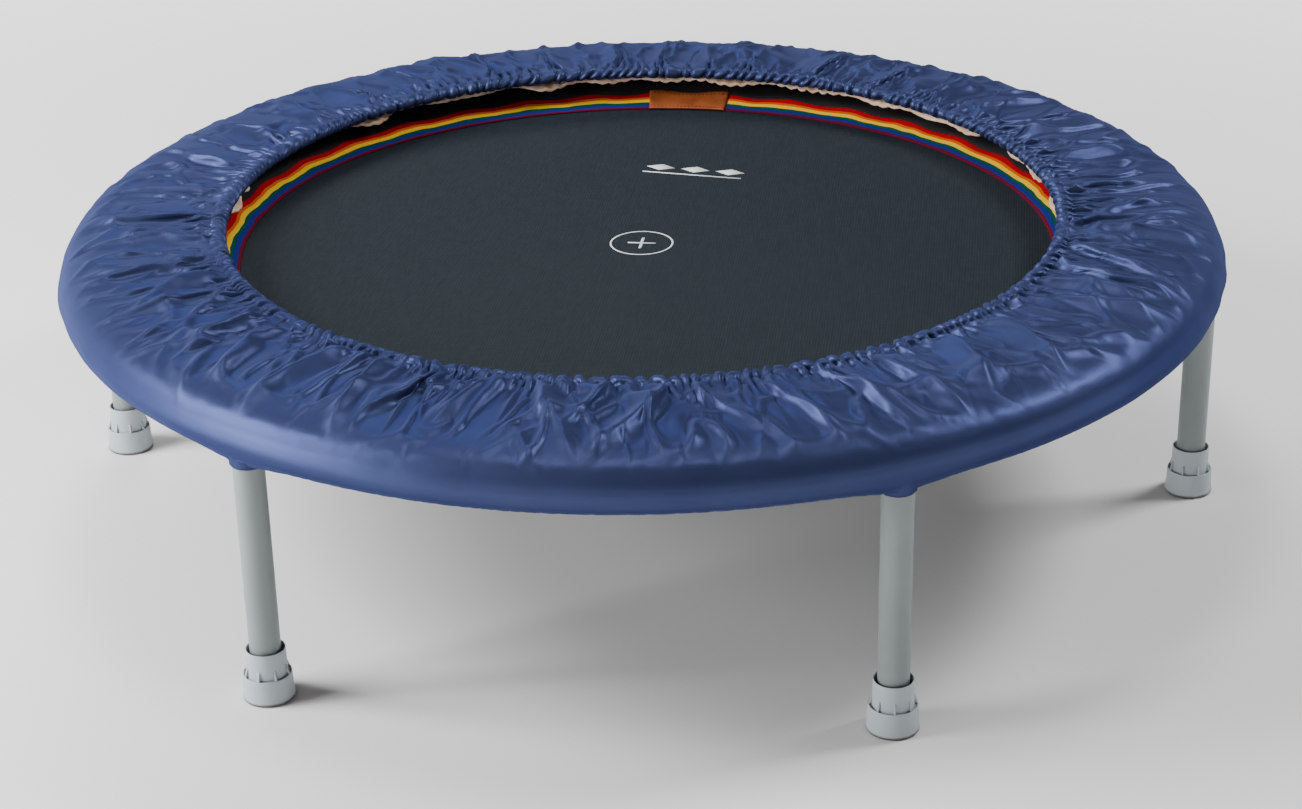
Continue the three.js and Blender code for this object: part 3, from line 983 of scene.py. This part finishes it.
def add_long_folds(total, lean, angle, share, radius, front):
    """Folds that start at the gathers, evenly spread with some scatter, and lean to one side."""
    swing = 0.055 * wave_noise(angle, 4, 22, 10)
    centres = np.cumsum(random.uniform(0.6, 1.4, FOLD_COUNT))
    centres *= TURN / centres[-1]
    for centre in centres:
        drift = np.interp(centre, angle, swing) + random.normal() * 0.045
        path = centre + drift * (share - 0.15) + random.normal() * 0.018 * share**2
        path = path + 0.004 * np.sin(share * random.uniform(3, 9) + random.uniform(0, TURN))
        wide = random.uniform(0.0050, 0.0100) * (0.8 + 0.5 * share)
        fold = ridge(angle, share, radius, path, random.uniform(0.0075, 0.0140), wide, 0.02,
                     random.uniform(0.6, 1.0))
        fold = fold * (1 - step(share, 0.55, 0.9) * front)
        total += fold**3
        lean += fold * random.choice([-1, 1]) * random.uniform(0.3, 0.85) * (1 - 0.7 * step(share, 0.2, 0.6))


def add_crossings(total, angle, share, radius):
    """Short low folds that slant across the long ones."""
    for _ in range(CROSS_COUNT):
        middle = random.uniform(0.2, 0.75)
        slope = random.choice([-1, 1]) * random.uniform(0.10, 0.26)
        path = random.uniform(0, TURN) + slope * (share - middle)
        fold = ridge(angle, share, radius, path, random.uniform(0.003, 0.006), random.uniform(0.003, 0.007),
                     middle - 0.12, middle + 0.32)
        total += fold**3


def folds(angle, share, radius):
    """Raised folds that run out from the gathers: height, and how far each leans sideways."""
    total = np.zeros((len(share), len(angle)))
    lean = np.zeros_like(total)
    share = share[:, None]
    rear = (1 + np.sin(angle - CAMERA_TURN)) / 2
    front = step(1 - rear, 0.2, 0.6) * 0.35 + 0.65
    add_long_folds(total, lean, angle, share, radius, front)
    add_crossings(total, angle, share, radius)
    patchy = 0.45 + 0.75 * crumple(angle, share, (8, 30), 7, 1)
    fade = (1 - step(share, 0.5, 0.9) * front) * patchy * (1 - 0.4 * rear)
    crests = 0.0105 * crumple(angle, share, (18, 46), 4, 3.0)
    creases = crests - 0.0032 * crumple(angle, share, (20, 60), 5, 5)
    height = np.cbrt(total) * (1 - 0.55 * rear) + fade * creases
    return FOLD_LIMIT * np.tanh(height / FOLD_LIMIT), lean


def top_rows(ripple):
    """The cover's top, from the stitching to the outer edge: generated folds, then softened."""
    section, distance = smooth_section(
        [(STITCH_R, STITCH_Z - 0.0012), (0.394, 0.2568), (0.415, 0.2580), (0.445, 0.2578), (0.470, 0.2562),
         (0.488, 0.2530), (0.4995, 0.2475), (0.5065, 0.2390), (COVER_R - 0.0002, 0.2285)], TOP_ROWS)

    def pad_height(radius):
        top = np.interp(radius, section[:, 0], section[:, 1]) - 0.0006
        return np.where(radius < 0.500, top, -1)

    share = distance / distance[-1]
    inward = (1 - share)[:, None]
    offset = (hem_radius(ANGLE) - HEM_R)[None, :] * inward
    rise = (hem_height(ANGLE) - HEM_Z)[None, :] * inward
    radius = section[:, 0:1] + offset + 0.0012 * ripple[None] * (1 - inward) ** 2
    height, lean = folds(ANGLE, share, radius)
    near = np.exp(-share[:, None] / (0.13 + 0.05 * PUCKER_TWIST[None]))
    loops = np.array([pucker(pucker_lean(0.8 + 1.2 * part), step(part, 0.02, 0.15)) for part in share]) - 0.5
    height = height + 0.0068 * near * loops * PUCKER_SIZE[None]
    height += 0.0005 * wave_noise(ANGLE, 60, 160, 30)[None] * inward * (1 - near)
    cloth = polar(radius, ANGLE[None, :] + lean / radius, section[:, 1:2] + rise + height)
    free = np.ones(TOP_ROWS)
    free[0] = free[-2:] = 0
    ring = np.roll(cloth, -1, axis=1) - cloth
    around = np.sqrt((ring * ring).sum(-1)).mean(axis=1)
    line = np.diff(cloth, axis=0)
    along = np.minimum(np.sqrt((line * line).sum(-1)).mean(axis=1), np.diff(distance) * 1.01)
    return settle_cloth(cloth, free, around, along, pad_height)


def side_rows(ripple):
    """The side, the lip turned under the frame tube and its gathered elastic edge."""
    section, distance = smooth_section(
        [(COVER_R - 0.0002, 0.2285), (COVER_R - 0.0004, 0.2240), (0.5075, 0.2178),
         (0.5030, 0.2135), (0.4975, 0.2115), (0.4950, 0.2123), (0.4962, 0.2140), (0.4985, 0.2136)], 14)
    share = (distance / distance[-1])[:, None]
    gather = pucker(0.4)[None] * np.clip(share * 2.2 - 1.1, 0, 1)
    radius = section[:, 0:1] + 0.0012 * ripple[None] * (1 - share) + 0.0010 * gather
    height = section[:, 1:2] - 0.0009 * gather
    for leg in range(LEG_COUNT):
        away = np.abs(turn_between(ANGLE, leg_angle(leg))) * FRAME_R
        height = height - 0.0044 * np.exp(-((away / 0.034) ** 2))[None] * np.clip(share * 2.4 - 0.4, 0, 1)
    rows = polar(radius, ANGLE[None, :], height)
    for leg in range(LEG_COUNT):
        axis = np.array(leg_place(leg))
        away = rows[..., :2] - axis
        distance = np.hypot(away[..., 0], away[..., 1])
        near = np.maximum(1, (LEG_R + 0.0018) / np.maximum(distance, 1e-6))[..., None]
        rows[..., :2] = axis + away * near
    return rows


def make_cuff(index, made):
    """Cloth drawn down round the top of a leg, tucked up behind the cover's lip."""
    columns, rows = 72, 12
    around = np.linspace(0, TURN, columns, endpoint=False)[None, :]
    share = np.linspace(0, 1, rows)[:, None]
    crease = 0.0004 * wave_noise(around, 4, 12, 6)
    close = LEG_R + 0.0006
    outward = np.where(np.cos(around) > 0, close + 0.0004 * share, close + 0.0030 * share)
    tangent = close + 0.036 * share**2.0
    x = (outward + crease * share) * np.cos(around)
    y = (tangent + crease) * np.sin(around)
    x = x - y**2 / (2 * FRAME_R)
    z = 0.2052 + 0.0088 * share**0.7 + 0.0003 * np.cos(around)
    local = np.stack([x + FRAME_R, y, z + 0 * x], axis=-1)
    outer = radial_frame(local.reshape(-1, 3), leg_angle(index)).reshape(local.shape)
    piece = give(grid_object(f"leg_cuff_{index + 1}", outer), made)
    thick = piece.modifiers.new("cloth", "SOLIDIFY")
    thick.thickness = 0.0004
    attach(piece, "frame")
    return piece


def make_cover(made):
    rear = (1 + np.sin(ANGLE - CAMERA_TURN)) / 2
    ripple = np.clip(wave_noise(ANGLE, 14, 70, 22), -1.0, 2.0) * (0.12 + 0.88 * rear)
    points = np.concatenate([np.array(channel_rows()), top_rows(ripple), side_rows(ripple)[1:]])
    piece = give(grid_object("nylon_cover", points), made)
    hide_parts("rim_cover")
    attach(piece, "frame")
    cuffs = [make_cuff(index, made) for index in range(LEG_COUNT)]


def make_elastic(made):
    angle = np.linspace(0, TURN, 720, endpoint=False)
    path = polar(hem_radius(angle), angle, hem_height(angle))
    piece = give(joined("elastic_cord", [tube(path, 0.0022, 10, closed=True)]), made)
    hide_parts("hem_elastic")
    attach(piece, "frame")


# ---------- the whole object
make_camera()
make_studio()
make_floor()
steel = steel_material()
coat = powder_coat_material()
rubber = foot_rubber_material()
make_frame_ring(coat)
for leg in range(LEG_COUNT):
    make_leg(leg, coat)
    make_foot(leg, rubber)
make_springs(steel)
make_v_rings(steel)
make_mat(woven_mat_material())
make_webbing(webbing_material())
make_patch(leather_material(),
           cloth_material("waxed_thread", (0.05, 0.012, 0.004), (0.08, 0.02, 0.006), 0.6, 900))
make_print(cloth_material("white_ink", (0.62, 0.64, 0.65), (0.72, 0.74, 0.75), 0.55, 700))
make_skirt(cloth_material("black_cloth", (0.006, 0.006, 0.007), (0.011, 0.011, 0.012), 0.8, 1200))
make_foam(cloth_material("beige_foam", (0.44, 0.27, 0.18), (0.74, 0.55, 0.43), 0.85, 500))
make_cover(nylon_material())
make_elastic(cloth_material("braided_elastic", (0.60, 0.58, 0.52), (0.72, 0.70, 0.64), 0.7, 900))
